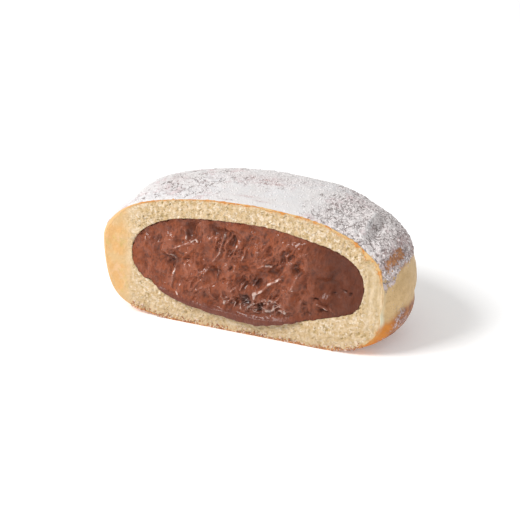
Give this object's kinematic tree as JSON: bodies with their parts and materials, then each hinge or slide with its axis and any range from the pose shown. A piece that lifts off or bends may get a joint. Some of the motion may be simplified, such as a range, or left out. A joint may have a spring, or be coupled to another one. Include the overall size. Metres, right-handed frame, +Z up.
{
  "type": "cream-filled doughnut half",
  "caption": "Half of a round filled doughnut, cut open: a domed dough shell dusted with powdered sugar around a solid chocolate cream filling.",
  "frame": {"origin": "on the table under the middle of the half doughnut's box", "axes": "+Z up, out of the domed top; -Y out of the cut face; +X along the cut, to the right as the cut is seen from the front"},
  "size_m": [0.0906, 0.0447, 0.039],
  "materials": {
    "dough": "soft baked dough: porous pale crumb at the cut, golden crust with a pale belt, powdered sugar on top",
    "cream": "glossy milk-chocolate cream with a torn, uneven surface"
  },
  "bodies": {
    "root": {"dough": "dough", "cream_filling": "cream"}
  },
  "joints": []
}
